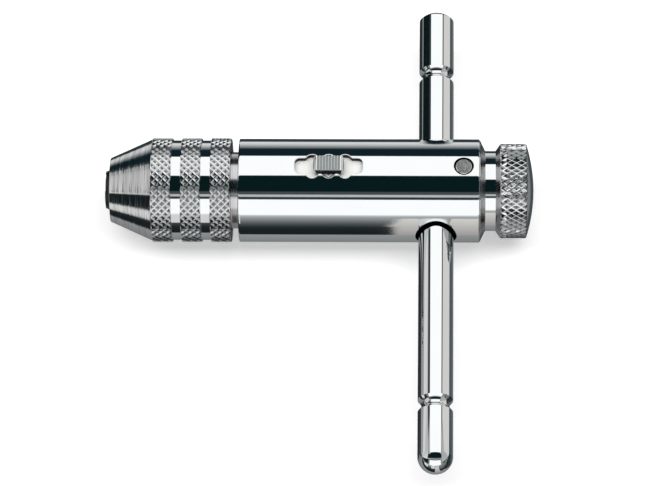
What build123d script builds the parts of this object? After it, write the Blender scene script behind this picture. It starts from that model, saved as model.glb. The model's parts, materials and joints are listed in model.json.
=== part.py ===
"""Reversible ratchet tap wrench with a sliding T-bar, a knurled chuck and a sprung selector.

Millimetres. X runs from the centre of the chuck mouth back to the end knob, the T-bar lies
along Y, and the selector slot faces +Z. Every piece is made where it sits at rest.
"""

from build123d import *
import os
from math import cos, hypot, pi, radians, sin, sqrt, tan

# Lengths along the tool, from the chuck mouth backwards
nose_length = 0.95
sleeve_cone_length = 8.35
band_count = 3
band_width = 4.06
groove_width = 1.79
neck_length = 1.54
barrel_length = 47.65
flange_length = 1.15
knob_neck_length = 2.0
knob_cone_length = 0.9
knob_grip_length = 4.7
knob_dome = 1.6
tbar_setback = 8.58
selector_to_tbar = 21.19

# Barrel and what is inside it
barrel_r = 10.25
barrel_wall = 1.1
end_chamfer = 0.2
press_gap = 0.03
running_gap = 0.05
end_gap = 0.1
selector_pocket = 0.92
journal_cover = 0.55
gear_depth = 0.9
gear_teeth = 24
gear_to_flat = 2.5
gear_gap_top = 0.94
gear_gap_root = 0.56
shaft_wall = 0.8
web_thickness = 3.0
web_setback = 0.6
rear_recess_gap = 0.4
shaft_tail = 2.5
washer_thickness = 0.5
clip_thickness = 0.8
clip_groove_depth = 0.45
clip_height = 1.1
clip_opening = 70.0
wire_sides = 6

# Rocker pawl and its pin
rocker_reach = 5.6
rocker_tooth_length = 1.4
rocker_thickness = 1.25
rocker_width = 2.9
rocker_under_flat = 0.55
rocker_notch = 0.25
tooth_bite = 0.32
tooth_tip_back = 0.15
tooth_tip_front = 0.22
tooth_root_back = 0.45
pivot_pin_r = 0.45
pivot_wall = 0.45
window_gap = 0.05

# Selector
lobe_pitch = 3.25
lobe_count = 3
slot_length = 13.5
slot_half_width = 1.8
slot_chamfer = 0.2
lobe_half_width = 2.7
lobe_r = 1.35
waist_fillet = 0.45
slot_end_r = 1.1
rim_tolerance = 0.001
plate_cover = 0.4
plate_half_width = 3.25
plate_gap = 0.1
button_length = 6.0
button_width = 3.35
button_rise = 1.05
button_end_bevel = 0.8
rib_count = 7
rib_pitch = 0.58
rib_depth = 0.28
stem_r = 1.2
plunger_r = 0.7
plunger_length = 1.5
plunger_spring_turns = 3
nib_reach = 2.3
nib_half_base = 0.72
leaf_thickness = 0.35
leaf_height = 0.4

# Chuck
slot_width = 4.0
jaw_slot_length = 18.0
pilot_r = 3.1
pilot_length = 3.5
prong_bore_r = 3.3
prong_bore_end = 14.0
prong_wall = 0.75
nose_taper = 0.4
mouth_land = 0.65
cone_angle = 24.5
thread_height = 0.35
thread_clearance = 0.1
sleeve_wall = 1.85
band_height = 0.45
band_chamfer = 0.25
sleeve_nose_wall = 2.2
cone_shoulder = 0.25
screw_pitch = 1.25
opening_turns = 2.0
closing_turns = 400 / 360
ring_wire_r = 0.35
ring_inset = 1.2
ring_groove_gap = 0.05
ring_opening = 20.0

# Jaws
jaw_side_gap = 0.05
jaw_cone_gap = 0.12
jaw_front = 0.35
jaw_tail_r = 6.5
jaw_tail_inner = 1.5
grip_square = 3.4
grip_end = 12.5
grip_relief = 0.6
jaw_land_gap = 0.085
jaw_spring_r = 1.5
jaw_spring_wire_r = 0.2
jaw_spring_turns = 4
jaw_spring_inset = 2.7
jaw_roof = 2.2

# T-bar and the detent that holds it
tbar_r = 3.45
tbar_length = 102.6
tbar_long_side = 61.95
tbar_near_dome = 3.2
tbar_far_dome = 1.6
tbar_near_groove = 14.2
tbar_far_groove = 14.8
tbar_groove_width = 2.4
tbar_groove_depth = 0.7
cross_gap = 0.05
countersink = 0.6
ball_r = 2.5
ball_gap = 0.03
detent_spring_wire_r = 0.3
detent_spring_turns = 4
detent_bore_end = 4.0

# End knob and the pin through it
knob_neck_r = 7.95
knob_r = 9.4
knob_edge = 0.4
shank_wall = 1.27
housing_end_gap = 0.3
pin_r = 1.65
pin_wall = 0.23
pin_sink = 0.1
pin_face_r = 1.3
pin_floor = 0.9
pin_countersink = 0.25

# Stations along X
sleeve_front = nose_length
bands_start = sleeve_front + sleeve_cone_length
sleeve_rear = bands_start + band_count * band_width + (band_count - 1) * groove_width
barrel_front = sleeve_rear + neck_length
barrel_rear = barrel_front + barrel_length
neck_start = barrel_rear + flange_length
neck_end = neck_start + knob_neck_length
knob_front = neck_end + knob_cone_length
knob_rear = knob_front + knob_grip_length
tool_end = knob_rear + knob_edge + knob_dome
tbar_x = barrel_rear - tbar_setback
selector_x = tbar_x - selector_to_tbar
cross_r = tbar_r + cross_gap
shank_front = tbar_x - cross_r - shank_wall
pin_x = tbar_x + cross_r + pin_wall + pin_r + cross_gap

# Radii and heights inside the barrel
bore_r = barrel_r - barrel_wall
housing_r = bore_r - press_gap
flat_z = housing_r - selector_pocket
journal_r = flat_z - journal_cover - running_gap
gear_r = flat_z - gear_to_flat
gear_root_r = gear_r - gear_depth
shaft_r = gear_root_r - shaft_wall
rocker_top = flat_z - rocker_under_flat
rocker_floor = rocker_top - rocker_thickness
pivot_z = rocker_floor + pivot_pin_r
journal_end = selector_x - rocker_reach - 3 * window_gap - 2.0
gear_end = selector_x + rocker_reach + 3 * window_gap + 1.4
web_front = gear_end + web_setback
web_rear = web_front + web_thickness
washer_front = web_rear + running_gap
clip_front = washer_front + washer_thickness + running_gap
shaft_end = web_rear + shaft_tail

# Chuck working sizes
slope = tan(radians(cone_angle))
opening_travel = screw_pitch * opening_turns
closing_travel = screw_pitch * closing_turns
jaw_closing = slope * closing_travel
nose_r = prong_bore_r + prong_wall
mouth_r = nose_r + thread_clearance
mouth_end = sleeve_front + mouth_land
thread_r = journal_r + thread_height
sleeve_bore_r = thread_r + thread_clearance
groove_r = sleeve_bore_r + sleeve_wall
band_r = groove_r + band_height
ring_x = sleeve_rear - ring_inset
ring_r = journal_r + thread_clearance + ring_wire_r
thread_end = ring_x - opening_travel - ring_wire_r - 3 * ring_groove_gap
jaw_end = jaw_slot_length - end_gap


def turned(*points):
    """Solid of revolution about the tool axis from (x, radius) points."""
    return revolve(make_face(Polyline(*points, close=True)), Axis.X)


def x_rod(radius, start, end):
    """Cylinder on the tool axis between two stations."""
    return Pos((start + end) / 2, 0, 0) * Rot(0, 90, 0) * Cylinder(radius, end - start)


def y_rod(radius, x, z, half_length):
    """Cylinder across the tool, centred on the plane y = 0."""
    return Pos(x, 0, z) * Rot(90, 0, 0) * Cylinder(radius, 2 * half_length)


def z_rod(radius, x, low, high):
    """Upright cylinder between two heights."""
    return Pos(x, 0, (low + high) / 2) * Cylinder(radius, high - low)


def block(x_span, half_width, z_span):
    """Box between two stations and two heights, centred on the plane y = 0."""
    size = (x_span[1] - x_span[0], 2 * half_width, z_span[1] - z_span[0])
    return Pos(sum(x_span) / 2, 0, sum(z_span) / 2) * Box(*size)


def coil(mean_r, wire_r, length, turns):
    """Compression spring that stands on the XY plane, ends included in its length."""
    rise = length - 2 * wire_r
    path = Helix(rise / turns, rise, mean_r)
    wire = Plane(path @ 0, z_dir=path % 0) * RegularPolygon(wire_r, wire_sides)
    return Pos(0, 0, wire_r) * sweep(wire, path)


def chuck_sleeve():
    """Knurled sleeve: a turned cone and three grip bands, with the closing cone inside."""
    outline = [
        (sleeve_front, mouth_r),
        (sleeve_front, mouth_r + sleeve_nose_wall),
        (bands_start, band_r - cone_shoulder),
    ]
    for band in range(band_count):
        start = bands_start + band * (band_width + groove_width)
        end = start + band_width
        if band > 0:
            outline += [(start, groove_r), (start, band_r - band_chamfer)]
        outline += [(start + band_chamfer, band_r), (end - band_chamfer, band_r)]
        outline += [(end, band_r - band_chamfer)]
        if band < band_count - 1:
            outline += [(end, groove_r)]
    ring_half = ring_wire_r + ring_groove_gap
    ring_groove_r = ring_r + ring_half
    cone_end = mouth_end + (sleeve_bore_r - mouth_r) / slope
    outline += [
        (sleeve_rear, sleeve_bore_r),
        (ring_x + ring_half, sleeve_bore_r),
        (ring_x + ring_half, ring_groove_r),
        (ring_x - ring_half, ring_groove_r),
        (ring_x - ring_half, sleeve_bore_r),
        (cone_end, sleeve_bore_r),
        (mouth_end, mouth_r),
    ]
    return turned(*outline)


def sleeve_stop_ring():
    """Sprung wire ring in the sleeve that keeps it from being screwed off the spindle."""
    section = Pos(ring_x, ring_r) * RegularPolygon(ring_wire_r, wire_sides)
    return revolve(section, Axis.X, 360 - ring_opening)


def gear():
    """Ratchet teeth of the spindle, with a tooth gap at the top."""
    pitch = 2 * pi / gear_teeth
    corners = []
    for tooth in range(gear_teeth):
        middle = pi / 2 + tooth * pitch
        root = gear_gap_root / 2 / gear_root_r
        tip = gear_gap_top / 2 / gear_r
        for angle, radius in (
            (middle - root, gear_root_r),
            (middle + root, gear_root_r),
            (middle + tip, gear_r),
            (middle + pitch - tip, gear_r),
        ):
            corners.append((radius * cos(angle), radius * sin(angle)))
    section = Plane.YZ.offset(journal_end) * make_face(Polyline(*corners, close=True))
    return extrude(section, gear_end - journal_end)


def spindle():
    """Chuck spindle: slotted nose and threaded body in front, journals and gear behind."""
    cone_start = mouth_end + closing_travel + 2 * thread_clearance
    cone_end = cone_start + (thread_r - nose_r) / slope
    clip_rear = clip_front + clip_thickness + running_gap
    clip_root = shaft_r - clip_groove_depth
    body = turned(
        (0, 0),
        (0, nose_r - nose_taper),
        (nose_length, nose_r),
        (cone_start, nose_r),
        (cone_end, thread_r),
        (thread_end, thread_r),
        (thread_end, journal_r),
        (journal_end, journal_r),
        (journal_end, shaft_r),
        (clip_front - running_gap, shaft_r),
        (clip_front - running_gap, clip_root),
        (clip_rear, clip_root),
        (clip_rear, shaft_r),
        (shaft_end - end_chamfer, shaft_r),
        (shaft_end, shaft_r - end_chamfer),
        (shaft_end, 0),
    )
    body += gear()
    body -= block((-1, jaw_slot_length), slot_width / 2, (-barrel_r, barrel_r))
    body -= x_rod(pilot_r, -1, pilot_length)
    body -= x_rod(prong_bore_r, pilot_length, prong_bore_end)
    return body


def jaw():
    """Upper jaw at rest: a cone-backed bar with a V for the square of a tap."""
    closed_start = mouth_end + closing_travel
    front_r = mouth_r + slope * (jaw_front - closed_start) - jaw_cone_gap
    tail_r = jaw_tail_r - jaw_closing
    cone_end = jaw_front + (tail_r - front_r) / slope
    back = turned(
        (jaw_front, 0),
        (jaw_front, front_r),
        (cone_end, tail_r),
        (jaw_end, tail_r),
        (jaw_end, 0),
    )
    half_width = slot_width / 2 - jaw_side_gap
    land_z = jaw_closing + jaw_land_gap
    body = Pos(0, 0, jaw_closing) * back
    body &= block((jaw_front, jaw_end), half_width, (land_z, barrel_r))
    apex = grip_square / sqrt(2)
    vee = Plane.YZ * make_face(Polyline((-apex, 0), (apex, 0), (0, apex), close=True))
    body -= extrude(vee, jaw_end)
    body -= block((0, jaw_end), grip_relief / 2, (0, apex))
    body -= x_rod(pilot_r + running_gap, 0, pilot_length)
    body -= block((grip_end, jaw_end), slot_width, (0, jaw_tail_inner))
    seat_r = jaw_spring_r + 2 * jaw_side_gap
    body -= z_rod(seat_r, jaw_end - jaw_spring_inset, 0, jaw_tail_r - jaw_roof)
    return body


def jaw_spring():
    """Spring between the jaw tails that spreads the jaws as the sleeve lets them."""
    seat_z = jaw_tail_r - jaw_roof - press_gap
    spring = coil(jaw_spring_r - jaw_spring_wire_r, jaw_spring_wire_r, 2 * seat_z, jaw_spring_turns)
    return Pos(jaw_end - jaw_spring_inset, 0, -seat_z) * spring


def thrust_washer():
    """Washer between the housing web and the retaining ring."""
    rear = washer_front + washer_thickness
    inner_r = shaft_r + running_gap
    outer_r = gear_r + end_gap
    return turned(
        (washer_front, inner_r), (washer_front, outer_r), (rear, outer_r), (rear, inner_r)
    )


def spindle_retaining_ring():
    """Snap ring that holds the spindle in the housing."""
    inner_r = shaft_r - clip_groove_depth + running_gap
    section = Pos(clip_front + clip_thickness / 2, inner_r + clip_height / 2)
    section *= Rectangle(clip_thickness, clip_height)
    return revolve(section, Axis.X, 360 - clip_opening)


def selector_flat():
    """Span in X of the flat that the selector plate slides on."""
    half = slot_length / 2 + 2 * lobe_pitch + 2 * plate_cover
    return selector_x - half, selector_x + half


def rocker_window():
    """Span in X of the window that the rocker pawl works through."""
    half = rocker_reach + 3 * window_gap
    return selector_x - half, selector_x + half


def ratchet_housing():
    """Bearing sleeve inside the barrel, with the gear chamber and the rocker window."""
    rear = shank_front - housing_end_gap
    journal_bore_r = journal_r + running_gap
    chamber_r = gear_r + 2 * end_gap
    front = barrel_front + 2 * end_chamfer
    body = turned(
        (front, journal_bore_r),
        (front, housing_r),
        (rear, housing_r),
        (rear, chamber_r + rear_recess_gap),
        (web_rear, chamber_r + rear_recess_gap),
        (web_rear, shaft_r + running_gap),
        (web_front, shaft_r + running_gap),
        (web_front, chamber_r),
        (journal_end + end_gap, chamber_r),
        (journal_end + end_gap, journal_bore_r),
    )
    body -= block(selector_flat(), barrel_r, (flat_z, barrel_r))
    body -= block(rocker_window(), rocker_width / 2 + window_gap, (gear_root_r, barrel_r))
    body -= y_rod(pivot_pin_r + press_gap, selector_x, pivot_z, barrel_r)
    return body


def rocker_pawl():
    """See-saw pawl: the front tooth drives one way, the rear tooth the other."""
    tip_z = gear_r - tooth_bite
    body = block(
        (selector_x - rocker_reach, selector_x + rocker_reach),
        rocker_width / 2,
        (rocker_floor, rocker_top),
    )
    for side in (-1, 1):
        tooth = Polyline(
            (side * tooth_tip_front, tip_z),
            (side * tooth_tip_front, pivot_z),
            (-side * tooth_root_back, pivot_z),
            (-side * tooth_root_back, rocker_floor),
            (-side * tooth_tip_back, tip_z),
            close=True,
        )
        outer = selector_x + side * rocker_reach
        start = min(outer, outer - side * rocker_tooth_length)
        body += extrude(Plane.YZ.offset(start) * make_face(tooth), rocker_tooth_length)
    hub_r = pivot_pin_r + pivot_wall
    hub = Pos(selector_x, 0, pivot_z) * Rot(90, 0, 0) * Cylinder(hub_r, rocker_width)
    body += hub - block((0, tool_end), barrel_r, (pivot_z, barrel_r))
    notch = Polyline(
        (selector_x - 2 * rocker_notch, rocker_top),
        (selector_x + 2 * rocker_notch, rocker_top),
        (selector_x, rocker_top - rocker_notch),
        close=True,
    )
    body -= extrude(Plane.XZ * make_face(notch), rocker_width / 2, both=True)
    body -= y_rod(pivot_pin_r + running_gap, selector_x, pivot_z, rocker_width)
    return body


def rocker_pin():
    """Pivot pin of the rocker pawl, trapped by the barrel."""
    top_z = pivot_z + pivot_pin_r
    half_length = sqrt(housing_r**2 - top_z**2) - end_gap
    return y_rod(pivot_pin_r, selector_x, pivot_z, half_length)


def slot_outline():
    """Selector slot seen from above: a straight slot with three pairs of detent lobes."""
    outline = Rectangle(slot_length, 2 * slot_half_width)
    outline = fillet(outline.vertices(), slot_end_r)
    for lobe in range(lobe_count):
        x = (lobe - (lobe_count - 1) / 2) * lobe_pitch
        for side in (-1, 1):
            outline += Pos(x, side * (lobe_half_width - lobe_r)) * Circle(lobe_r)
    waists = [
        corner
        for corner in outline.vertices()
        if abs(corner.X) < slot_length / 2 - slot_end_r - waist_fillet / 2
    ]
    return Pos(selector_x, 0) * fillet(waists, waist_fillet)


def on_slot_rim(edge):
    """True for an edge where the selector slot meets the outside of the barrel."""
    middle = edge @ 0.5
    outside = abs(hypot(middle.Y, middle.Z) - barrel_r) < rim_tolerance
    return outside and middle.Z > 0 and abs(middle.X - selector_x) < slot_length / 2 + rim_tolerance


def barrel_tube():
    """Chromed barrel: a tube with the selector slot, the T-bar holes and the pin hole."""
    body = turned(
        (barrel_front, bore_r),
        (barrel_front, barrel_r - end_chamfer),
        (barrel_front + end_chamfer, barrel_r),
        (barrel_rear - end_chamfer, barrel_r),
        (barrel_rear, barrel_r - end_chamfer),
        (barrel_rear, bore_r),
    )
    body -= extrude(Plane.XY * slot_outline(), 2 * barrel_r)
    body = chamfer(body.edges().filter_by(on_slot_rim), slot_chamfer)
    body -= y_rod(cross_r, tbar_x, 0, 2 * barrel_r)
    mouth = Cone(cross_r, cross_r + 2 * countersink, 2 * countersink)
    for side in (-1, 1):
        body -= Pos(tbar_x, side * barrel_r, 0) * Rot(-90 * side, 0, 0) * mouth
    hole_r = pin_r + cross_gap
    body -= z_rod(hole_r, pin_x, 0, 2 * barrel_r)
    rim = Cone(hole_r, hole_r + 2 * pin_countersink, 2 * pin_countersink)
    body -= Pos(pin_x, 0, barrel_r) * rim
    return body


def end_knob():
    """Knurled end knob with the shank that fills the rear of the barrel."""
    rim_r = knob_r - knob_edge
    rim_x = knob_rear + knob_edge
    side = Polyline(
        (tool_end, 0),
        (shank_front, 0),
        (shank_front, housing_r),
        (barrel_rear + press_gap, housing_r),
        (barrel_rear + press_gap, barrel_r - end_chamfer),
        (barrel_rear + end_chamfer, barrel_r),
        (neck_start, knob_neck_r),
        (neck_end, knob_neck_r),
        (knob_front, knob_r - band_chamfer),
        (knob_front + band_chamfer, knob_r),
        (knob_rear, knob_r),
        (rim_x, rim_r),
    )
    dome = TangentArc((tool_end, 0), (rim_x, rim_r), tangent=(0, 1))
    body = revolve(make_face(side + dome), Axis.X)
    body -= y_rod(cross_r, tbar_x, 0, 2 * barrel_r)
    body -= x_rod(ball_r + 2 * cross_gap, tbar_x, tool_end - detent_bore_end)
    body -= z_rod(pin_r + press_gap, pin_x, pin_bottom(), barrel_r)
    return body


def pin_bottom():
    """Height of the floor of the pin hole, above the detent bore."""
    return ball_r + 2 * cross_gap + pin_floor


def retaining_pin():
    """Pin that holds the knob shank in the barrel, with a bevelled rim."""
    top = barrel_r - pin_sink
    bevel = pin_r - pin_face_r
    profile = Polyline(
        (0, pin_bottom() + press_gap),
        (pin_r, pin_bottom() + press_gap),
        (pin_r, top - bevel),
        (pin_face_r, top),
        (0, top),
        close=True,
    )
    return Pos(pin_x, 0, 0) * revolve(Plane.XZ * make_face(profile), Axis.Z)


def ball_x():
    """Station of the detent ball, which presses on the back of the T-bar."""
    return tbar_x + tbar_r + ball_r + ball_gap


def detent_spring():
    """Spring behind the detent ball."""
    mean_r = ball_r - 2 * detent_spring_wire_r
    contact = ball_x() + sqrt(ball_r**2 - mean_r**2)
    start = contact + detent_spring_wire_r
    end = tool_end - detent_bore_end - press_gap
    spring = coil(mean_r, detent_spring_wire_r, end - start, detent_spring_turns)
    return Pos(start, 0, 0) * Rot(0, 90, 0) * spring


def t_bar():
    """Sliding T-bar with a full dome near, a flatter one far, and a detent groove by each."""
    ends = (-tbar_long_side, tbar_length - tbar_long_side)
    rims = (ends[0] + tbar_near_dome, ends[1] - tbar_far_dome)
    outline = Line((0, ends[0]), (0, ends[1])) + Line((tbar_r, rims[0]), (tbar_r, rims[1]))
    for end, rim in zip(ends, rims):
        outline += TangentArc((0, end), (tbar_r, rim), tangent=(1, 0))
    section = make_face(outline)
    ring_r = (tbar_groove_depth**2 + (tbar_groove_width / 2) ** 2) / (2 * tbar_groove_depth)
    ring_centre = tbar_r - tbar_groove_depth + ring_r
    for groove_y in (ends[0] + tbar_near_groove, ends[1] - tbar_far_groove):
        section -= Pos(ring_centre, groove_y) * Circle(ring_r)
    return Pos(tbar_x, 0, 0) * revolve(section, Axis.Y)


def selector_plate():
    """Curved plate under the slot that slides with the button and keeps dirt out."""
    half = slot_length / 2 + lobe_pitch + plate_cover
    span = (selector_x - half, selector_x + half)
    body = block(span, plate_half_width, (flat_z + running_gap, barrel_r))
    body &= x_rod(bore_r - plate_gap, *span)
    body -= z_rod(stem_r + running_gap, selector_x, 0, barrel_r)
    return body


def rhombus(half_x, half_y):
    """Diamond outline centred on the selector button."""
    corners = ((-half_x, 0), (0, -half_y), (half_x, 0), (0, half_y))
    return Pos(selector_x, 0) * make_face(Polyline(*corners, close=True))


def leaf_outline(inset=0.0):
    """Half sizes of the detent leaf's diamond, drawn in by its thickness."""
    nib_rise = nib_reach - button_width / 2
    half_x = nib_half_base * nib_reach / nib_rise
    inset_y = inset * sqrt(half_x**2 + nib_reach**2) / half_x
    inset_x = inset * sqrt(half_x**2 + nib_reach**2) / nib_reach
    return half_x - inset_x, nib_reach - inset_y


def leaf_floor():
    """Height of the underside of the detent leaf, just above the plate."""
    return bore_r - plate_gap + running_gap


def selector_detent_spring():
    """Bent leaf round the button's stem whose two points click into the lobes."""
    ring = rhombus(*leaf_outline()) - rhombus(*leaf_outline(leaf_thickness))
    return Pos(0, 0, leaf_floor()) * extrude(ring, leaf_height)


def selector_button():
    """Ribbed thumb button; its stem passes through the plate and holds the plunger."""
    top = barrel_r + button_rise
    under = bore_r - plate_gap + running_gap
    outline = Rectangle(button_length, button_width)
    outline = fillet(outline.vertices(), button_width / 2 - end_chamfer)
    body = Pos(selector_x, 0, flat_z) * extrude(outline, top - flat_z)
    body -= x_rod(under, selector_x - button_length, selector_x + button_length)
    for side in (-1, 1):
        end = selector_x + side * button_length / 2
        slope_cut = Polyline(
            (end, top),
            (end - side * button_end_bevel, top),
            (end, top - button_rise / 2),
            close=True,
        )
        body -= extrude(Plane.XZ * make_face(slope_cut), button_width, both=True)
    for gap in range(rib_count + 1):
        x = selector_x + (gap - rib_count / 2) * rib_pitch
        half = rib_pitch / 2 - running_gap
        groove = Polyline((x - half, top), (x + half, top), (x, top - rib_depth), close=True)
        body -= extrude(Plane.XZ * make_face(groove), button_width, both=True)
    recess = rhombus(*leaf_outline(-2 * running_gap))
    roof = leaf_floor() + leaf_height + running_gap
    body -= extrude(recess, roof)
    body += z_rod(stem_r, selector_x, flat_z + running_gap, roof)
    body -= z_rod(plunger_r + running_gap, selector_x, 0, plunger_top() + spring_room())
    return body


def plunger_top():
    """Height of the plunger's back end."""
    return rocker_top + running_gap + plunger_length


def spring_room():
    """Length of the bore behind the plunger."""
    return barrel_r + button_rise - 2 * rib_depth - plunger_top()


def selector_plunger():
    """Round-nosed plunger that presses on the rocker pawl."""
    low = rocker_top + running_gap
    body = z_rod(plunger_r, selector_x, low + plunger_r, plunger_top())
    return body + Pos(selector_x, 0, low + plunger_r) * Sphere(plunger_r)


def plunger_spring():
    """Small spring in the button that pushes the plunger down."""
    wire_r = plunger_r / 7
    length = spring_room() - 2 * press_gap
    spring = coil(plunger_r - 2 * wire_r, wire_r, length, plunger_spring_turns)
    return Pos(selector_x, 0, plunger_top() + press_gap) * spring


parts = {
    "barrel_tube": barrel_tube(),
    "ratchet_housing": ratchet_housing(),
    "end_knob": end_knob(),
    "retaining_pin": retaining_pin(),
    "detent_ball": Pos(ball_x(), 0, 0) * Sphere(ball_r),
    "detent_spring": detent_spring(),
    "t_bar": t_bar(),
    "spindle": spindle(),
    "thrust_washer": thrust_washer(),
    "spindle_retaining_ring": spindle_retaining_ring(),
    "jaw_upper": jaw(),
    "jaw_lower": mirror(jaw(), about=Plane.XY),
    "jaw_spring": jaw_spring(),
    "chuck_sleeve": chuck_sleeve(),
    "sleeve_stop_ring": sleeve_stop_ring(),
    "rocker_pawl": rocker_pawl(),
    "rocker_pin": rocker_pin(),
    "selector_button": selector_button(),
    "selector_plate": selector_plate(),
    "selector_detent_spring": selector_detent_spring(),
    "selector_plunger": selector_plunger(),
    "plunger_spring": plunger_spring(),
}

os.makedirs("parts", exist_ok=True)
for name, shape in parts.items():
    export_step(shape, f"parts/{name}.step")
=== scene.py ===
"""Chromed T-handle tap wrench with a ratchet selector, on a white floor under soft light.

Shapes are given in millimetres and become metres in mm(). X runs from the chuck mouth back
to the end knob, the sliding bar lies along Y, and the selector slot faces up.
"""

import json
from math import asin, atan2, cos, degrees, hypot, pi, radians, sin, sqrt
from random import Random

import bpy
from mathutils import Matrix, Vector


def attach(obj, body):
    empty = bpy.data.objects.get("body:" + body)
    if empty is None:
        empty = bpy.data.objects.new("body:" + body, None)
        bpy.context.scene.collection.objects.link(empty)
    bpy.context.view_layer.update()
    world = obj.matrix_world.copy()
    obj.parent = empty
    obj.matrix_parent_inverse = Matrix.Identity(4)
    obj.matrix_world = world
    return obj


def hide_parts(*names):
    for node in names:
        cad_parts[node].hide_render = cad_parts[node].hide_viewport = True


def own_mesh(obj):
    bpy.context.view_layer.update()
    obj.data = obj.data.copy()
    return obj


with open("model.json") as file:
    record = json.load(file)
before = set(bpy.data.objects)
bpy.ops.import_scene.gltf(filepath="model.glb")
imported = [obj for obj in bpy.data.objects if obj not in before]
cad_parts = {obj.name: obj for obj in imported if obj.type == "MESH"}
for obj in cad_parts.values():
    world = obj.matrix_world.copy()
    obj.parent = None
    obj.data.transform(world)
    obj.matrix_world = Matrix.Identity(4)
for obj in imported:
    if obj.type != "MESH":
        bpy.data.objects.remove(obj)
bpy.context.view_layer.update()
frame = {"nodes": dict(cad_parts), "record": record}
nodes = frame["nodes"]

# Radii (R) and places along X that more than one piece uses

BARREL_R, BORE_R = 10.25, 9.15
BARREL_FRONT, BARREL_REAR = 26.6, 74.25
SELECTOR_X, BAR_X, PIN_X = 44.48, 65.67, 71.1
BAR_R, CROSS_R, MOUTH_R = 3.45, 3.5, 4.1
PIN_R, PIN_HOLE_R, PIN_TOP = 1.65, 1.97, 10.15
SHANK_FRONT, SHANK_R, NECK_R = 60.9, 9.12, 7.95
BAND_R, BAND_PIT_R, GROOVE_R, CONE_REAR = 10.38, 10.02, 9.9, 9.3
GRIP_R, GRIP_PIT_R = 9.4, 9.0


def mm(*lengths):
    """Millimetres to metres, for one length or for a point."""
    metres = tuple(length / 1000 for length in lengths)
    return metres if len(metres) > 1 else metres[0]


# Modelling


def pick(piece):
    """Makes piece the only selected and active object."""
    bpy.ops.object.select_all(action="DESELECT")
    piece.select_set(True)
    bpy.context.view_layer.objects.active = piece


def edit(piece, select="SELECT"):
    """Opens piece in edit mode with everything or nothing selected."""
    pick(piece)
    bpy.ops.object.mode_set(mode="EDIT")
    bpy.ops.mesh.select_mode(type="VERT")
    bpy.ops.mesh.select_all(action=select)


def edit_where(piece, chosen):
    """Opens piece in edit mode with the vertices selected for which chosen(x, y, z) is true."""
    edit(piece, "DESELECT")
    bpy.ops.object.mode_set(mode="OBJECT")
    for vertex in piece.data.vertices:
        vertex.select = chosen(*(1000 * c for c in vertex.co))
    bpy.ops.object.mode_set(mode="EDIT")


def edit_edges(piece, chosen):
    """Opens piece in edit mode with the edges selected for which chosen(end, end) is true."""
    edit(piece, "DESELECT")
    bpy.ops.mesh.select_mode(type="EDGE")
    bpy.ops.object.mode_set(mode="OBJECT")
    spots = [tuple(1000 * c for c in vertex.co) for vertex in piece.data.vertices]
    for edge in piece.data.edges:
        edge.select = chosen(spots[edge.vertices[0]], spots[edge.vertices[1]])
    bpy.ops.object.mode_set(mode="EDIT")


def leave():
    bpy.ops.object.mode_set(mode="OBJECT")


def line(name, points):
    """A line of edges, drawn from vertex to vertex."""
    bpy.ops.object.select_all(action="DESELECT")
    bpy.ops.mesh.primitive_plane_add(size=mm(1))
    piece = bpy.context.object
    piece.name = name
    edit(piece)
    bpy.ops.mesh.merge(type="CENTER")
    bpy.ops.transform.translate(value=mm(*points[0]))
    for here, there in zip(points, points[1:]):
        step = mm(*(b - a for a, b in zip(here, there)))
        bpy.ops.mesh.extrude_vertices_move(TRANSFORM_OT_translate={"value": step})
    leave()
    return piece


def seal(piece, smooth=30):
    """Merges doubles, turns the faces outwards and smooths all but the sharp edges."""
    edit(piece)
    bpy.ops.mesh.remove_doubles(threshold=1e-6)
    bpy.ops.mesh.normals_make_consistent(inside=False)
    leave()
    pick(piece)
    bpy.ops.object.shade_smooth_by_angle(angle=radians(smooth))
    return piece


def lathe(name, points, steps, axis="X", centre=(0, 0, 0), smooth=30):
    """Turned piece from (station, radius) points, about the X, Y or Z line through centre."""
    cx, cy, cz = centre
    place = {
        "X": lambda s, r: (s, cy, cz + r),
        "Y": lambda s, r: (cx + r, s, cz),
        "Z": lambda s, r: (cx + r, cy, s),
    }[axis]
    piece = line(name, [place(s, r) for s, r in points])
    edit(piece)
    turn = {"X": (1, 0, 0), "Y": (0, 1, 0), "Z": (0, 0, 1)}[axis]
    bpy.ops.mesh.spin(steps=steps, angle=2 * pi, center=mm(*centre), axis=turn)
    leave()
    return seal(piece, smooth)


def arc(centre, radius, start, end, count):
    """Points of an arc from start to end degrees."""
    turns = [radians(start + (end - start) * i / count) for i in range(count + 1)]
    return [(centre[0] + radius * cos(t), centre[1] + radius * sin(t)) for t in turns]


def dome(apex, rim, rim_r, count):
    """Points of a cap from its apex on the axis to its rim, square to the axis at the apex."""
    height = abs(rim - apex)
    side = 1 if apex > rim else -1
    radius = (rim_r**2 + height**2) / (2 * height)
    sweep = asin(rim_r / radius)
    turns = [sweep * i / count for i in range(count + 1)]
    return [(apex - side * radius * (1 - cos(t)), radius * sin(t)) for t in turns]


def finish_with(piece, kind, **settings):
    """Adds a modifier and applies it."""
    modifier = piece.modifiers.new("step", kind)
    for name, value in settings.items():
        setattr(modifier, name, value)
    pick(piece)
    bpy.ops.object.modifier_apply(modifier=modifier.name)


def cut(piece, tool, operation="DIFFERENCE"):
    """Takes the tool's shape out of piece, or keeps or adds it."""
    finish_with(piece, "BOOLEAN", operation=operation, solver="EXACT", object=tool)
    bpy.data.objects.remove(tool)


def prism(name, outline, way):
    """Solid on a closed outline of points, drawn out along way."""
    piece = line(name, outline + outline[:1])
    edit(piece)
    bpy.ops.mesh.remove_doubles(threshold=1e-6)
    bpy.ops.mesh.edge_face_add()
    bpy.ops.mesh.extrude_region_move(TRANSFORM_OT_translate={"value": mm(*way)})
    leave()
    return seal(piece)


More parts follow.
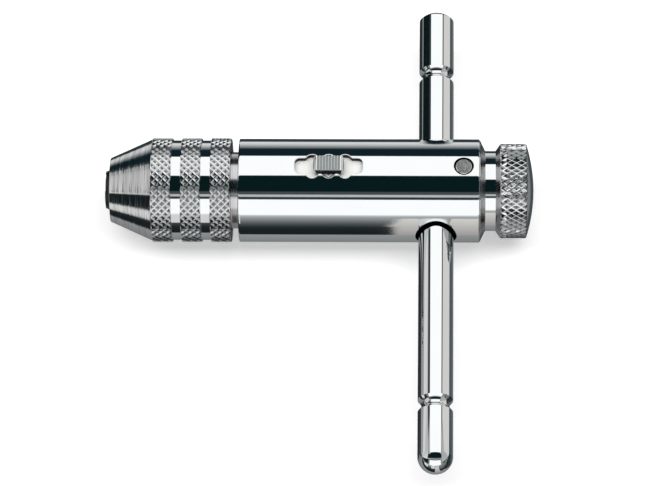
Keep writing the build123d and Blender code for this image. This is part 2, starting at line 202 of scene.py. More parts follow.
def smooth_copy(node, name):
    """A CAD node's shape with its triangles joined, so that it shades smoothly."""
    piece = nodes[node].copy()
    piece.data = nodes[node].data.copy()
    for key in list(piece.keys()):
        del piece[key]
    piece.parent = None
    piece.name = name
    bpy.context.scene.collection.objects.link(piece)
    piece.data.materials.clear()
    pick(piece)
    bpy.ops.mesh.customdata_custom_splitnormals_clear()
    edit(piece)
    bpy.ops.mesh.mark_sharp(clear=True)
    leave()
    return seal(piece)


def paint_where(piece, finish, chosen):
    """Gives the faces for which chosen(x, y, z, radius) is true their own finish."""
    piece.data.materials.append(finish)
    index = len(piece.data.materials) - 1
    for face in piece.data.polygons:
        x, y, z = (1000 * c for c in face.center)
        if chosen(x, y, z, hypot(y, z)):
            face.material_index = index


def cross_tool(radius, height=1.0):
    """Cutter for the hole that the bar slides through; height above 1 makes it oval."""
    reach = 12
    points = [(-reach, 0), (-reach, radius), (reach, radius), (reach, 0)]
    tool = lathe("cross_tool", points, 96, "Y", (BAR_X, 0, 0))
    edit(tool)
    bpy.ops.transform.resize(value=(1, 1, height), center_override=mm(BAR_X, 0, 0))
    leave()
    return tool


def pin_tool(radius, floor, rim):
    """Cutter for the pin hole, opened out by rim at the surface of the barrel."""
    excess = 1
    points = [(floor, 0), (floor, radius), (BARREL_R - rim, radius)]
    points += [(BARREL_R + excess, radius + excess + rim), (BARREL_R + excess, 0)]
    return lathe("pin_tool", points, 64, "Z", (PIN_X, 0, 0))


# Barrel


def slot_side(grow):
    """Upper half of the selector slot seen from above, grown outwards, left end to right end."""
    end_x, side_y, end_r = 6.75, 1.8, 1.1
    pitch, lobe_y, lobe_r, waist_r = 3.25, 1.35, 1.35, 0.45
    waist_y = side_y + waist_r
    waist_dx = sqrt((lobe_r + waist_r) ** 2 - (waist_y - lobe_y) ** 2)
    lean = degrees(atan2(waist_y - lobe_y, waist_dx))
    points = arc((end_r - end_x, side_y - end_r), end_r + grow, 180, 90, 10)
    for lobe in (-pitch, 0, pitch):
        points += arc((lobe - waist_dx, waist_y), waist_r - grow, -90, -lean, 8)
        points += arc((lobe, lobe_y), lobe_r + grow, 180 - lean, lean, 20)[1:]
        points += arc((lobe + waist_dx, waist_y), waist_r - grow, 180 + lean, 270, 8)[1:]
    return points + arc((end_x - end_r, side_y - end_r), end_r + grow, 90, 0, 10)


def slot_ring(grow, lift, end_z):
    """The slot's outline on the round of the barrel, drawn out up or down to a flat end."""
    upper = slot_side(grow)
    outline = upper + [(x, -y) for x, y in reversed(upper)]
    spots = [(SELECTOR_X + x, y, sqrt(BARREL_R**2 - y**2) + lift) for x, y in outline]
    ring = line("slot_ring", spots + spots[:1])
    edit(ring)
    bpy.ops.mesh.remove_doubles(threshold=1e-6)
    bpy.ops.mesh.extrude_region_move()
    bpy.ops.transform.resize(value=(1, 1, 0), center_override=mm(SELECTOR_X, 0, end_z))
    bpy.ops.mesh.edge_face_add()
    leave()
    return ring


def slot_tool():
    """Cutter for the selector slot, with an edge break that follows the round of the barrel."""
    chamfer, floor, top = 0.12, 8.0, 13.0
    rims_low, rims_high = 9.1, 10.8
    low = slot_ring(-chamfer / 2, -chamfer, floor)
    high = slot_ring(1.5 * chamfer, chamfer, top)
    pick(low)
    high.select_set(True)
    bpy.ops.object.join()
    edit_edges(low, lambda a, b: all(rims_low < end[2] < rims_high for end in (a, b)))
    bpy.ops.mesh.bridge_edge_loops()
    leave()
    return seal(low)


def make_barrel():
    """Tube with broken edges, cut for the selector, the sliding bar and the pin.

    Rings near its ends and beside its openings keep the shading of the long faces straight.
    """
    front, rear, edge, next_ring = BARREL_FRONT, BARREL_REAR, 0.2, 0.45
    middle = 0.3 * edge
    beside_openings = [36.5, 52.4, 60.9, 73.4]
    stations = [front + edge, front + next_ring] + beside_openings + [rear - next_ring, rear - edge]
    points = [(front, BORE_R), (front, BARREL_R - edge)]
    points += [(front + middle, BARREL_R - middle)]
    points += [(x, BARREL_R) for x in stations]
    points += [(rear - middle, BARREL_R - middle), (rear, BARREL_R - edge)]
    points += [(rear, BORE_R), (front, BORE_R)]
    barrel = lathe("barrel_shell", points, steps=360)
    cut(barrel, slot_tool())
    cut(barrel, cross_tool(MOUTH_R, height=1.085))
    cut(barrel, pin_tool(PIN_HOLE_R, floor=5, rim=0.04))
    seal(barrel)
    finish_with(barrel, "WEIGHTED_NORMAL", keep_sharp=True)
    return barrel


# Chuck sleeve and end knob


def knurl(piece, rows, steps, top_r, valley_r, land):
    """Presses a diamond grip into the turned rows: every other crossing is a pit.

    The ridges between the pits get a flat top as wide as land.
    """
    turn, slack = 2 * pi / steps, 0.01

    def crossing(x, y, z, odd):
        if abs(hypot(y, z) - top_r) > slack:
            return False
        near = min(range(len(rows)), key=lambda i: abs(rows[i] - x))
        column = round(atan2(y, z) / turn)
        return abs(rows[near] - x) < slack and (near + column) % 2 == odd

    edit_where(piece, lambda x, y, z: crossing(x, y, z, 0))
    shrink = valley_r / top_r
    bpy.ops.transform.resize(value=(1, shrink, shrink), center_override=(0, 0, 0))
    leave()
    start, end = rows[0] - slack, rows[-1] + slack
    edit_where(piece, lambda x, y, z: start < x < end and hypot(y, z) > valley_r - slack)
    bpy.ops.mesh.quads_convert_to_tris(quad_method="LONGEST_DIAGONAL")
    leave()
    edit_edges(piece, lambda a, b: a[0] != b[0] and crossing(*a, 1) and crossing(*b, 1))
    bpy.ops.mesh.bevel(offset=mm(land), affect="EDGES")
    leave()


def turned(start, end, rings, depth, seed):
    """Points from start to end whose radius wavers as the tool that turned them did."""
    wander = Random(seed)
    points = []
    for i in range(1, rings):
        x, r = (a + (b - a) * i / rings for a, b in zip(start, end))
        points.append((x, r + wander.uniform(-depth, depth)))
    return [start] + points + [end]


def make_sleeve():
    """Screw sleeve: a turned cone and three gripped bands round a stepped bore."""
    front, front_r, edge_x, edge_r = 0.95, 6.27, 1.03, 6.386
    bands, band, groove, side_r = 3, 4.06, 1.79, 10.1
    bevel, bevel_r = 0.04, 10.22
    steps, row_count, first_row, pitch = 88, 6, 0.1925, 0.735
    mouth_r, mouth_end, bore_start, bore_r = 4.15, 1.6, 10.158, 8.05
    ring, ring_r = 0.8, 8.45
    points = [(front, mouth_r), (front, front_r)]
    points += turned((edge_x, edge_r), (CONE_REAR, side_r), rings=33, depth=0.006, seed=5)
    rows = []
    for n in range(bands):
        x = CONE_REAR + n * (band + groove)
        if n:
            points += [(x, GROOVE_R), (x, side_r)]
        stations = [x + first_row + pitch * i for i in range(row_count)]
        rows.append(stations)
        points += [(x + bevel, bevel_r)] + [(s, BAND_R) for s in stations]
        points += [(x + band - bevel, bevel_r), (x + band, side_r)]
        if n < bands - 1:
            points += [(x + band, GROOVE_R)]
    end = CONE_REAR + bands * band + (bands - 1) * groove
    points += [(end, bore_r), (end - ring, bore_r), (end - ring, ring_r), (end - 2 * ring, ring_r)]
    points += [(end - 2 * ring, bore_r), (bore_start, bore_r), (mouth_end, mouth_r), (front, mouth_r)]
    sleeve = lathe("knurled_sleeve", points, steps)
    for stations in rows:
        knurl(sleeve, stations, steps, BAND_R, BAND_PIT_R, land=0.05)
    return seal(sleeve)


def make_knob():
    """End knob: a gripped head, a neck, a flange, and the shank that fills the tube."""
    end, rim, rim_r = 85.0, 83.6, 9.15
    steps, row_count, first_row, pitch = 96, 6, 78.6, 0.96
    bevel, bevel_r, head, neck_rear, neck_front = 78.35, 9.3, 78.25, 77.42, 75.4
    slope, slope_r, flange_r = 75.36, NECK_R + 0.03, 10.12
    flange_edge, flange = BARREL_REAR + 0.08, BARREL_REAR + 0.02
    bore_end, bore_r = 81.0, 2.6
    rows = [first_row + pitch * i for i in range(row_count)]
    points = dome(end, rim, rim_r, 10)
    points += [(s, GRIP_R) for s in reversed(rows)]
    points += [(bevel, bevel_r), (head, rim_r)]
    points += turned((neck_rear, NECK_R), (neck_front, NECK_R), rings=8, depth=0.0008, seed=3)
    points += [(slope, slope_r), (flange_edge, flange_r), (flange, flange_r)]
    points += [(flange, SHANK_R), (SHANK_FRONT, SHANK_R), (SHANK_FRONT, 0)]
    knob = lathe("knurled_knob", points, steps)
    knurl(knob, rows, steps, GRIP_R, GRIP_PIT_R, land=0.06)
    cut(knob, cross_tool(CROSS_R))
    cut(knob, pin_tool(radius=1.68, floor=3.5, rim=0))
    bore = [(BAR_X, 0), (BAR_X, bore_r), (bore_end, bore_r), (bore_end, 0)]
    cut(knob, lathe("detent_bore", bore, steps=64))
    return seal(knob)


# Sliding bar, pin and button


def make_bar():
    """Sliding bar with a tall dome on the near end, a flat one on the far end, and two grooves."""
    near, far, near_dome, far_dome = -61.95, 40.65, 3.2, 1.6
    groove_places, depth, half, shoulder = (-47.75, 25.85), 0.7, 1.2, 1.3
    groove_r = (depth**2 + half**2) / (2 * depth)
    lean = degrees(asin(half / groove_r))
    points = dome(near, near + near_dome, BAR_R, 16)
    for y in groove_places:
        bottom = arc((y, BAR_R - depth + groove_r), groove_r, -90 - lean, -90 + lean, 12)
        points += [(y - shoulder, BAR_R)] + bottom[1:-1] + [(y + shoulder, BAR_R)]
    points += dome(far, far - far_dome, BAR_R, 12)[::-1]
    return lathe("sliding_bar", points, 96, "Y", (BAR_X, 0, 0), smooth=40)


def make_pin():
    """Retaining pin with an edge break round its ground end."""
    foot, side_end, bevel_end, bevel_r, face_r = 3.53, PIN_TOP - 0.16, PIN_TOP - 0.02, 1.51, 1.46
    points = [(foot, 0), (foot, PIN_R), (side_end, PIN_R), (bevel_end, bevel_r)]
    points += [(PIN_TOP, face_r), (PIN_TOP, 0)]
    return lathe("lock_pin", points, 64, "Z", (PIN_X, 0, 0), smooth=25)


def make_button():
    """Ribbed thumb button with edges rounded by wear, on the stem that passes through the plate."""
    half_x, half_y, top, under, draw_in = 3.0, 1.675, 11.3, 9.86, 0.02
    end_r, end_inset = 0.8, 0.75
    ribs, pitch, depth, land = 8, 0.58, 0.26, 0.05
    slope = arc((-half_x + end_inset, top - end_r), end_r, 160, 95, 8)
    side = [(-half_x + draw_in, under)] + slope
    for i in range(ribs):
        x = (i - 0.5 * (ribs - 1)) * pitch
        side += [(x - 0.5 * pitch + land, top), (x, top - depth), (x + 0.5 * pitch - land, top)]
    side += [(-x, z) for x, z in reversed(slope)] + [(half_x - draw_in, under)]
    face = [(SELECTOR_X + x, -half_y, z) for x, z in side]
    head = prism("thumb_button", face, (0, 2 * half_y, 0))
    corner_r, corner_x = 0.45, -2.45
    bulge = [(-2.96, 0.8), (-half_x, 0.3)]
    quarter = arc((corner_x, half_y - corner_r), corner_r, 90, 160, 6) + bulge
    upper = quarter[::-1] + [(-x, y) for x, y in quarter]
    plan = upper + [(x, -y) for x, y in upper[::-1]]
    plan_low, plan_height = 5, 10
    rim = [(SELECTOR_X + x, y, plan_low) for x, y in plan]
    cut(head, prism("plan", rim, (0, 0, plan_height)), "INTERSECT")
    wear = {"limit_method": "ANGLE", "angle_limit": radians(35)}
    finish_with(head, "BEVEL", width=mm(0.05), segments=2, **wear)
    foot, stem_r, stem_top = 7.2, 1.2, under + 0.1
    stem = [(foot, 0), (foot, stem_r), (stem_top, stem_r), (stem_top, 0)]
    cut(head, lathe("stem", stem, 48, "Z", (SELECTOR_X, 0, 0)), "UNION")
    return seal(head, 40)


def make_jaw(node, name):
    """A jaw whose end comes forward almost flush with the nose, its outer edge drawn in."""
    end_x, forward = 0.4, -0.3
    front_x, outer_r, drawn_in = 0.1, 3, 0.95
    jaw = smooth_copy(node, name)
    edit_where(jaw, lambda x, y, z: x < end_x)
    bpy.ops.transform.translate(value=mm(forward, 0, 0))
    leave()
    edit_where(jaw, lambda x, y, z: x < front_x and hypot(y, z) > outer_r)
    bpy.ops.transform.resize(value=(1, drawn_in, drawn_in), center_override=(0, 0, 0))
    leave()
    return jaw


# Finishes


def seen(red, green, blue):
    """Linear colour of a light that a plated surface shows as this screen colour."""
    mirror = 0.8
    screen = (red / 255, green / 255, blue / 255)
    linear = (c / 12.92 if c < 0.0405 else ((c + 0.055) / 1.055) ** 2.4 for c in screen)
    return tuple(c / mirror for c in linear) + (1,)


class Wire:
    """A shader socket that can be used in sums, differences, products and powers."""

    def __init__(self, net, socket):
        self.net, self.socket = net, socket

    def maths(self, operation, *values):
        return self.net.node("ShaderNodeMath", {"operation": operation}, values)

    def __add__(self, other):
        return self.maths("ADD", self, other)

    def __radd__(self, other):
        return self.maths("ADD", other, self)

    def __sub__(self, other):
        return self.maths("SUBTRACT", self, other)

    def __rsub__(self, other):
        return self.maths("SUBTRACT", other, self)

    def __mul__(self, other):
        return self.maths("MULTIPLY", self, other)

    def __pow__(self, other):
        return self.maths("POWER", self, other)


class Net:
    """The nodes of one material or of the surroundings."""

    def __init__(self, tree):
        self.tree = tree

    def node(self, kind, settings, values=(), output=0):
        """Adds a node, sets it up, and gives its sockets their values or links."""
        node = self.tree.nodes.new(kind)
        for name, value in settings.items():
            setattr(node, name, value)
        pairs = values.items() if isinstance(values, dict) else enumerate(values)
        for key, value in pairs:
            if isinstance(value, Wire):
                self.tree.links.new(value.socket, node.inputs[key])
            else:
                node.inputs[key].default_value = value
        return Wire(self, node.outputs[output])

    def ramp(self, value, low, high, kind="SMOOTHSTEP"):
        """Goes from 0 to 1 as value goes from low to high."""
        settings = {"interpolation_type": kind}
        return self.node("ShaderNodeMapRange", settings, (value, low, high, 0.0, 1.0))

    def blend(self, factor, first, second):
        """Colour that goes from first to second with factor."""
        settings = {"data_type": "RGBA"}
        first_colour, second_colour, mixed_colour = 6, 7, 2
        values = {0: factor, first_colour: first, second_colour: second}
        return self.node("ShaderNodeMix", settings, values, mixed_colour)

    def place(self):
        return self.node("ShaderNodeTexCoord", {}, output="Object")

    def axes(self, vector):
        split = self.node("ShaderNodeSeparateXYZ", {}, (vector,)).socket.node
        return [Wire(self, split.outputs[i]) for i in range(3)]

    def stretched(self, vector, scale):
        """The place, scaled along each axis."""
        return self.node("ShaderNodeMapping", {}, {"Vector": vector, "Scale": scale})

    def noise(self, vector, scale, detail=2.0, roughness=0.5):
        values = {"Vector": vector, "Scale": scale, "Detail": detail, "Roughness": roughness}
        return self.node("ShaderNodeTexNoise", {}, values)

    def bump(self, height, strength, distance):
        values = {"Height": height, "Strength": strength, "Distance": distance}
        return self.node("ShaderNodeBump", {}, values)


def finish_of(name):
    """A new material with its net and its surface shader."""
    material = bpy.data.materials.new(name)
    material.use_nodes = True
    net = Net(material.node_tree)
    return material, net, material.node_tree.nodes["Principled BSDF"]


def join(net, shader, links):
    """Links each wire to the shader's socket of that name."""
    for socket, wire in links.items():
        net.tree.links.new(wire.socket, shader.inputs[socket])


def polished_chrome():
    """Mirror chrome with faint smears and hairlines."""
    material, net, shader = finish_of("polished_chrome")
    place = net.place()
    smear = net.noise(place, scale=160.0, detail=3.0, roughness=0.6)
    hairline = net.noise(net.stretched(place, (0.15, 1, 1)), scale=9000.0)
    join(net, shader, {
        "Base Color": net.blend(smear, (0.78, 0.8, 0.8, 1), (0.82, 0.84, 0.84, 1)),
        "Roughness": 0.012 + smear * 0.014,
        "Normal": net.bump(hairline, strength=0.03, distance=mm(0.01)),
    })
    shader.inputs["Metallic"].default_value = 1
    return material


def ringed_chrome(name, dark, light, rough, marks):
    """Chrome over rings left by the lathe, which run round the tool and differ in tone."""
    material, net, shader = finish_of(name)
    place = net.place()
    fine = net.noise(net.stretched(place, (1, 0.01, 0.01)), scale=3600.0, detail=3.0, roughness=0.7)
    wide = net.noise(net.stretched(place, (1, 0.02, 0.02)), scale=1100.0)
    tone = net.ramp(fine * 0.6 + wide * 0.4, 0.35, 0.65)
    join(net, shader, {
        "Base Color": net.blend(tone, (dark, dark, dark, 1), (light, light, light, 1)),
        "Roughness": rough + fine * rough,
        "Normal": net.bump(fine * 0.7 + wide, marks, mm(0.05)),
    })
    shader.inputs["Metallic"].default_value = 1
    return material


def grained_metal(name, dark, light, rough, spread, scale, bump, metallic=1.0):
    """Metal whose colour and roughness vary with a grain of one scale."""
    material, net, shader = finish_of(name)
    grain = net.noise(net.place(), scale, detail=4.0, roughness=0.65)
    join(net, shader, {
        "Base Color": net.blend(grain, (*dark, 1), (*light, 1)),
        "Roughness": rough + grain * spread,
        "Normal": net.bump(grain, bump, mm(0.05)),
    })
    shader.inputs["Metallic"].default_value = metallic
    return material


def pressed_chrome(name, pit_r, top_r):
    """Chrome over a pressed grip: bright on the ridges, rougher down in the pits, where painted shade
    darkens the colour.
    """
    material, net, shader = finish_of(name)
    place = net.place()
    y, z = net.axes(place)[1:]
    dark_r, bright_r = pit_r + 0.02, top_r - 0.06
    height = net.ramp((y * y + z * z) ** 0.5, mm(dark_r), mm(bright_r), "LINEAR")
    grain = net.noise(place, scale=900.0, detail=3.0, roughness=0.6)
    # Painted shade: the colour darkens from the ridges down into the pits, broken up by grain
    clear_of_pit_shade = net.ramp(height + grain * 0.5 - 0.25, 0.0, 0.8, "LINEAR")
    join(net, shader, {
        "Base Color": net.blend(clear_of_pit_shade, (0.07, 0.08, 0.09, 1), (0.86, 0.87, 0.87, 1)),
        "Roughness": 0.16 - clear_of_pit_shade * 0.1,
        "Normal": net.bump(grain, strength=0.1, distance=mm(0.05)),
    })
    shader.inputs["Metallic"].default_value = 1
    return material


def ground_steel():
    """Matt ground end of the pin, speckled with pits."""
    material, net, shader = finish_of("ground_steel")
    speckle = net.ramp(net.noise(net.place(), scale=4200.0), 0.42, 0.6)
    join(net, shader, {
        "Base Color": net.blend(speckle, (0.2, 0.21, 0.21, 1), (0.46, 0.47, 0.46, 1)),
        "Roughness": 0.5 + speckle * 0.15,
        "Normal": net.bump(speckle, strength=0.6, distance=mm(0.04)),
    })
    shader.inputs["Metallic"].default_value = 0.8
    return material


chrome = polished_chrome()
cone_chrome = ringed_chrome("cone_chrome", dark=0.6, light=0.88, rough=0.05, marks=0.55)
turned_steel = ringed_chrome("turned_steel", dark=0.5, light=0.62, rough=0.12, marks=0.3)
band_chrome = pressed_chrome("band_chrome", BAND_PIT_R, BAND_R)
grip_chrome = pressed_chrome("grip_chrome", GRIP_PIT_R, GRIP_R)
button_steel = grained_metal(
    "button_steel", (0.7, 0.71, 0.71), (0.86, 0.87, 0.87),
    rough=0.16, spread=0.12, scale=2600.0, bump=0.12,
)
# Darker grey for the ribbed top of the button: painted shade of its grooves
rib_shade_grey = grained_metal(
    "rib_shade_grey", (0.42, 0.44, 0.45), (0.58, 0.6, 0.6),
    rough=0.18, spread=0.12, scale=2600.0, bump=0.12,
)
# Near-white satin for the plate; it also goes on the edge break round the slot as a painted highlight
satin_plate_and_rim_highlight = grained_metal(
    "satin_plate_and_rim_highlight", (0.9, 0.9, 0.88), (0.96, 0.96, 0.94),
    rough=0.42, spread=0.12, scale=1800.0, bump=0.05, metallic=0.2,
)
pin_steel = ground_steel()
dark_steel = grained_metal(
    "dark_steel", (0.03, 0.032, 0.034), (0.09, 0.092, 0.095),
    rough=0.32, spread=0.2, scale=1500.0, bump=0.25,
)
# Near-black for painted shade: walls of the openings, the near side and underside of the button, and the
# hidden shank of the knob
painted_shade_black = grained_metal(
    "painted_shade_black", (0.004, 0.006, 0.007), (0.014, 0.016, 0.018),
    rough=0.35, spread=0.2, scale=1500.0, bump=0.1,
)
spring_steel = grained_metal(
    "spring_steel", (0.66, 0.67, 0.68), (0.82, 0.83, 0.84),
    rough=0.3, spread=0.12, scale=2200.0, bump=0.1, metallic=0.3,
)

# Pieces of the tool

barrel, sleeve, knob, pin = make_barrel(), make_sleeve(), make_knob(), make_pin()
spindle, button = smooth_copy("spindle", "chuck_spindle"), make_button()
spring = smooth_copy("jaw_spring", "spreading_spring")

# Each piece with its body, the CAD node that it replaces, its slot and its finish
made = [
    (barrel, "barrel", "barrel_tube", "chrome", chrome),
    (sleeve, "chuck_sleeve", "chuck_sleeve", "chrome", cone_chrome),
    (knob, "barrel", "end_knob", "chrome", chrome),
    (make_bar(), "t_bar", "t_bar", "chrome", chrome),
    (pin, "barrel", "retaining_pin", "pin_steel", chrome),
    (spindle, "spindle", "spindle", "turned_steel", turned_steel),
    (smooth_copy("selector_plate", "slot_plate"), "selector", "selector_plate", "chrome", satin_plate_and_rim_highlight),
    (button, "selector", "selector_button", "button_steel", button_steel),
    (make_jaw("jaw_upper", "jaw_top"), "jaw_upper", "jaw_upper", "dark_steel", dark_steel),
    (make_jaw("jaw_lower", "jaw_bottom"), "jaw_lower", "jaw_lower", "dark_steel", dark_steel),
    (spring, "spindle", "jaw_spring", "spring_steel", spring_steel),
]
for piece, body, node, slot, finish in made:
    piece.data.materials.append(finish)
    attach(piece, body)
    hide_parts(node)
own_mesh(spring)

# Walls of the openings in the barrel in near-black for painted shade, and the edge break round the slot in
# near-white satin for a painted highlight
wall_front, wall_rear, wall_low, wall_high = 27, 74, 9.2, 10.1
slot_half, edge_high = 8, 10.24
paint_where(barrel, painted_shade_black, lambda x, y, z, r: wall_front < x < wall_rear and wall_low < r < wall_high)
# Painted highlight: the edge break round the slot gets the near-white satin
paint_where(
    barrel, satin_plate_and_rim_highlight, lambda x, y, z, r: abs(x - SELECTOR_X) < slot_half and wall_high < r < edge_high
)

# Button: a darker grey on the ribs for painted shade in the grooves, near-black painted shade on the near
# side and underside, and a dark painted shadow line round the ends
rib_half, rib_low, rib_side, near_side = 2.3, 11.0, 1.5, -1.66
button_low, button_end = 9.9, 2.88
# Painted shade: the ribbed top in a darker grey
paint_where(
    button, rib_shade_grey,
    lambda x, y, z, r: abs(x - SELECTOR_X) < rib_half and z > rib_low and abs(y) < rib_side,
)
paint_where(button, painted_shade_black, lambda x, y, z, r: y < near_side or z < button_low)
# Painted shadow: a thin dark line on the ends of the button head
paint_where(button, dark_steel, lambda x, y, z, r: abs(x - SELECTOR_X) > button_end and z > button_low)

# Bands of the sleeve, with painted shade down in their pits, and its grooves
groove_low, groove_high = 9.6, GROOVE_R + 0.02
paint_where(sleeve, band_chrome, lambda x, y, z, r: x > CONE_REAR and r > groove_high)
paint_where(sleeve, chrome, lambda x, y, z, r: x > CONE_REAR and groove_low < r < groove_high)

# Grip with painted shade down in its pits, the two shoulders beside the neck, and the shank of the knob in
# near-black for painted shade
grip_front, grip_rear, grip_low = 78.3, 83.6, 8.6
flange_rear, neck_front, neck_rear = BARREL_REAR + 0.1, 75.37, 77.43
paint_where(knob, grip_chrome, lambda x, y, z, r: grip_front < x < grip_rear and r > grip_low)
paint_where(
    knob, turned_steel, lambda x, y, z, r: flange_rear < x < neck_front or neck_rear < x < grip_front
)
# Painted shade: the shank shows only through the gaps round the bar and the pin
paint_where(knob, painted_shade_black, lambda x, y, z, r: x < BARREL_REAR)

# Ground end of the pin and nose of the spindle
face_low, nose_end = PIN_TOP - 0.01, 3
paint_where(pin, pin_steel, lambda x, y, z, r: z > face_low)
paint_where(spindle, dark_steel, lambda x, y, z, r: x < nose_end)

# CAD nodes take the finish of their slot
finishes = {
    "chrome": chrome,
    "button_steel": button_steel,
    "pin_steel": pin_steel,
    "dark_steel": dark_steel,
    "turned_steel": turned_steel,
    "spring_steel": spring_steel,
}
for part in frame["record"]["subparts"]:
    node = nodes[part["node"]]
    node.data.materials.clear()
    node.data.materials.append(finishes[part["material_slot"]])

# Floor and light

floor_size, floor_z = 6, -10.4
bpy.ops.object.select_all(action="DESELECT")
bpy.ops.mesh.primitive_plane_add(size=floor_size, location=mm(0, 0, floor_z))
floor = bpy.context.object
floor.name = "floor"
floor.visible_glossy = False
paper, paper_net, paper_shader = finish_of("white_paper")
tone = paper_net.noise(paper_net.place(), scale=40.0)
join(paper_net, paper_shader, {
    "Base Color": paper_net.blend(tone, (0.73, 0.73, 0.73, 1), (0.75, 0.75, 0.75, 1)),
})
paper_shader.inputs["Emission Color"].default_value = (1, 1, 1, 1)
paper_shader.inputs["Emission Strength"].default_value = 0.49
paper_shader.inputs["Roughness"].default_value = 0.9
paper_shader.inputs["Specular IOR Level"].default_value = 0
floor.data.materials.append(paper)

overhead = bpy.data.lights.new("overhead", "AREA")
overhead.shape = "RECTANGLE"
overhead.size, overhead.size_y = 2.0, 0.55
overhead.energy = 14
lamp = bpy.data.objects.new("overhead", overhead)
lamp.location = mm(43, -31.4, 889)
lamp.rotation_euler = (radians(2), 0, 0)
lamp.visible_glossy = False
bpy.context.scene.collection.objects.link(lamp)

# What the chrome sees: cards round the tool

FIRST_TURN, LAST_TURN = -150.0, 210.0
world = bpy.data.worlds.new("surroundings")
world.use_nodes = True
bpy.context.scene.world = world
world.cycles_visibility.diffuse = False
air = Net(world.node_tree)
world.node_tree.nodes.clear()
east, north, up = air.axes(air.node("ShaderNodeTexCoord", {}, output="Generated"))
turn = up.maths("ARCTAN2", up, north * -1) * (180 / pi)
turn = turn.maths("WRAP", turn, LAST_TURN, FIRST_TURN)
lean = east.maths("ARCSINE", east) * (180 / pi)


def card(light, turns, colour, leans=None, soft=(1.0, 1.0), side=1.0, fade=None, bend=1.0):
    """Hangs a card in the light, over the cards before it.

    Its turns about X run from the front horizon over the top and its leans towards +X, both in
    degrees. It has soft ends and sides, and its colour may fade to another along its turns.
    """
    low, high = turns
    low_soft, high_soft = soft
    mask = air.ramp(turn, low - low_soft, low + low_soft)
    mask = mask * (1 - air.ramp(turn, high - high_soft, high + high_soft))
    if leans:
        left, right = leans
        mask = mask * air.ramp(lean, left - side, left + side)
        mask = mask * (1 - air.ramp(lean, right - side, right + side))
    paint = seen(*colour)
    if fade:
        paint = air.blend(air.ramp(turn, low, high, "LINEAR") ** bend, paint, seen(*fade))
    return air.blend(mask, light, paint)


BLACK, WHITE, DIM = (8, 26, 28), (250, 250, 250), (48, 54, 57)
light = seen(*DIM)

# Low in front, underneath and low behind
light = card(light, (-126, -56), (98, 102, 104), (-100, 33), (4, 1.2), fade=(140, 142, 143))
light = card(light, (-138, -110), (36, 42, 44), (-48, -13), (4, 3), side=2)
light = card(light, (-132, -104), (34, 40, 42), (2, 12), (4, 4), side=3)
light = card(light, (-132, -104), (64, 70, 72), (12, 24), (4, 4), side=4)
light = card(light, (-132, -104), (116, 120, 121), (25, 40), (4, 4), side=4)
light = card(light, (200, 210), (165, 167, 168), (10, 48), (3, 0.1), side=3)
light = card(light, (-150, -138), (165, 167, 168), (10, 36), (0.1, 3), side=3)
light = card(light, (-56, -38), (26, 32, 34))
light = card(light, (-38, 2.5), (28, 34, 36), fade=(172, 176, 178), bend=2.4)
light = card(light, (-38, 2.5), (70, 75, 77), (23, 60), fade=(128, 131, 132), side=2)
light = card(light, (-58, -27), (152, 149, 148), (-0.553, 19), (1, 0.2), 0.012, fade=(183, 180, 178))
edge = turn * 0.0062 - 0.454
light = card(light, (-27, -4), (183, 180, 178), (edge, 19), (0.2, 1), 0.03, fade=(206, 203, 200))
light = card(light, (-20, 3), (205, 206, 206), (-20, -2.9), side=0.02)

# In front, up to the black strip overhead
light = card(light, (2, 45), (118, 122, 124), (-43, -30), (3, 2), side=2)
light = card(light, (2, 45), (126, 130, 131), (30, 48), (3, 2), side=2)
light = card(light, (0, 49), (22, 28, 30), (-100, -45.5), (3, 3), side=1.5)
light = card(light, (3, 40.7), WHITE, (-34, 34), (3, 1), side=1.5)
light = card(light, (46.5, 51.8), (178, 181, 182), soft=(0.8, 1.4))
light = card(light, (53, 58.5), (66, 72, 74), soft=(1, 1.5))
light = card(light, (58.5, 94.7), BLACK, soft=(1.5, 1))

# Past the top and down behind
light = card(light, (86, 119), (158, 161, 162), (-43, -30), (3, 2), side=2)
light = card(light, (86, 119), (158, 161, 162), (32, 41), (3, 2), side=2)
light = card(light, (94.7, 144.8), WHITE, (-31.5, 34), (1, 1), side=0.8)
light = card(light, (145, 167.5), (15, 32, 38))
light = card(light, (167.5, 191), (15, 32, 38), fade=(204, 206, 207))
light = card(light, (191, 201.5), (204, 206, 207), soft=(0.5, 2))
light = card(light, (186, 203), (198, 199, 199), (-36, -9), (3, 1), side=2)
light = card(light, (133, 170), (236, 237, 237), (26, 36), (2, 4), side=1.5)

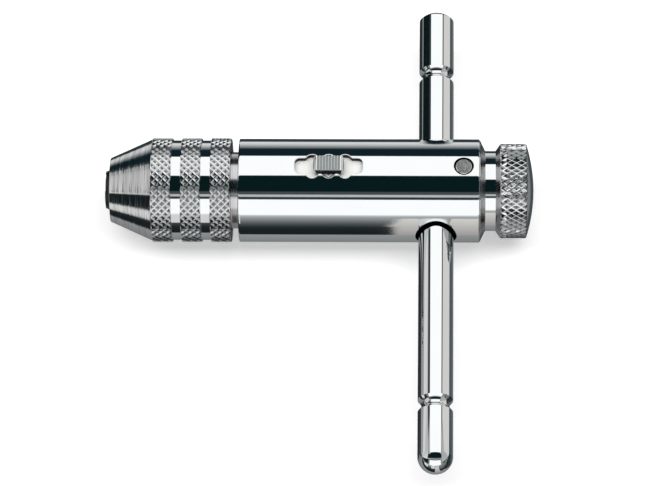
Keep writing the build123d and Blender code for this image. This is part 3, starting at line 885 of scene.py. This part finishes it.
# Far to the left and right; the first has a right side that slants with the turn
slant = turn.maths("MINIMUM", turn * 0.15 - 59.3, -43.5)
light = card(light, (45, 139), (212, 212, 211), (-100, slant), (3, 2), side=0.4, fade=(176, 177, 177))
light = card(light, (-27, -1), (208, 208, 207), (-60, -38), (2, 2), side=2)
light = card(light, (133, 166), (205, 205, 204), (-100, -46), side=1)
light = card(light, (166, 210), (145, 147, 148), (-100, -44), side=1)
light = card(light, (20, 122), (166, 168, 168), (41, 100), (3, 2), side=1)
light = card(light, (122, 200), (204, 201, 199), (39.8, 100), side=1)
light = card(light, (-150, -95), (76, 88, 91), (36, 100), (1, 4), side=2)
light = card(light, (-150, -95), (36, 46, 48), (60, 100), (1, 4), side=6)

# The camera itself sees white
rays = air.node("ShaderNodeLightPath", {}, output="Is Camera Ray")
sky = air.blend(rays, light, (1, 1, 1, 1))
glow = air.node("ShaderNodeBackground", {}, {"Color": sky, "Strength": 1.0})
output = world.node_tree.nodes.new("ShaderNodeOutputWorld")
world.node_tree.links.new(glow.socket, output.inputs["Surface"])

# Dark card that only the far arm of the sliding bar shows

card_size, card_middle = 62, (5, 69, 21)
bpy.ops.object.select_all(action="DESELECT")
bpy.ops.mesh.primitive_plane_add(size=mm(card_size), location=mm(*card_middle), rotation=(0, pi / 2, 0))
side_card = bpy.context.object
side_card.name = "side_card"
side_card.visible_camera = side_card.visible_diffuse = side_card.visible_shadow = False
felt, felt_net, felt_shader = finish_of("dark_felt")
fibre = felt_net.noise(felt_net.place(), scale=90.0)
join(felt_net, felt_shader, {
    "Base Color": felt_net.blend(fibre, (0.004, 0.01, 0.011, 1), (0.01, 0.02, 0.022, 1)),
})
felt_shader.inputs["Roughness"].default_value = 1
felt_shader.inputs["Specular IOR Level"].default_value = 0
side_card.data.materials.append(felt)

# View and camera

view = bpy.context.scene.view_settings
view.view_transform = "Standard"
view.look = "None"

elevation, distance = radians(61.7), 870
pan_angle, roll_angle = radians(1.466), radians(0.195)
focal_pixels, picture_pixels, sensor = 4374, 648, 36
aim = Vector(mm(BAR_X, -9.19, -4.95))
place = aim + mm(distance) * Vector((0, -cos(elevation), sin(elevation)))
pitch = Matrix.Rotation(pi / 2 - elevation, 3, "X")
pan = Matrix.Rotation(pan_angle, 3, "Y")
roll = Matrix.Rotation(roll_angle, 3, "Z")
lens = bpy.data.cameras.new("camera")
lens.sensor_width = sensor
lens.lens = focal_pixels / picture_pixels * sensor
lens.clip_start = 0.01
camera = bpy.data.objects.new("camera", lens)
camera.location = place
camera.rotation_euler = (pitch @ pan @ roll).to_euler()
bpy.context.scene.collection.objects.link(camera)
bpy.context.scene.camera = camera
